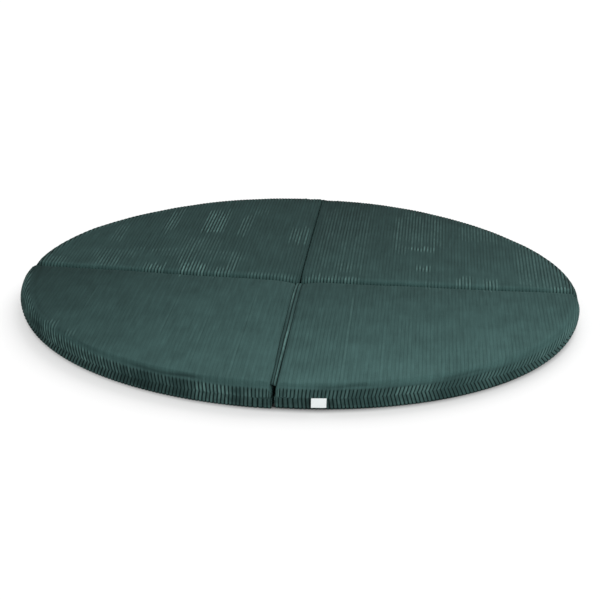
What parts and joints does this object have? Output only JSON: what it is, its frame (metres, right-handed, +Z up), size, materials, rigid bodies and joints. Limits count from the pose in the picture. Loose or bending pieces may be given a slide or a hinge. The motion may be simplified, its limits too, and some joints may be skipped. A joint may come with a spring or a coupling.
{
  "type": "round folding mat",
  "caption": "Round padded floor mat in wide-wale corduroy, made of quarter cushions that fold onto each other and lie open as one flat disc.",
  "frame": {"origin": "middle of the mat's box, on the floor it lies on", "axes": "+Z up; -Y towards the front, where the label hangs; the wales and the front-to-back fold run along Y"},
  "size_m": [1.3992, 1.4192, 0.0652],
  "materials": {
    "corduroy": "wide-wale corduroy with a brushed pile",
    "label_cloth": "plain woven satin tape"
  },
  "bodies": {
    "root": {"quarter_front_left": "corduroy", "quarter_front_right": "corduroy", "quarter_back_left": "corduroy", "quarter_back_right": "corduroy", "hinge_strip": "corduroy", "label_blank": "label_cloth"}
  },
  "joints": []
}
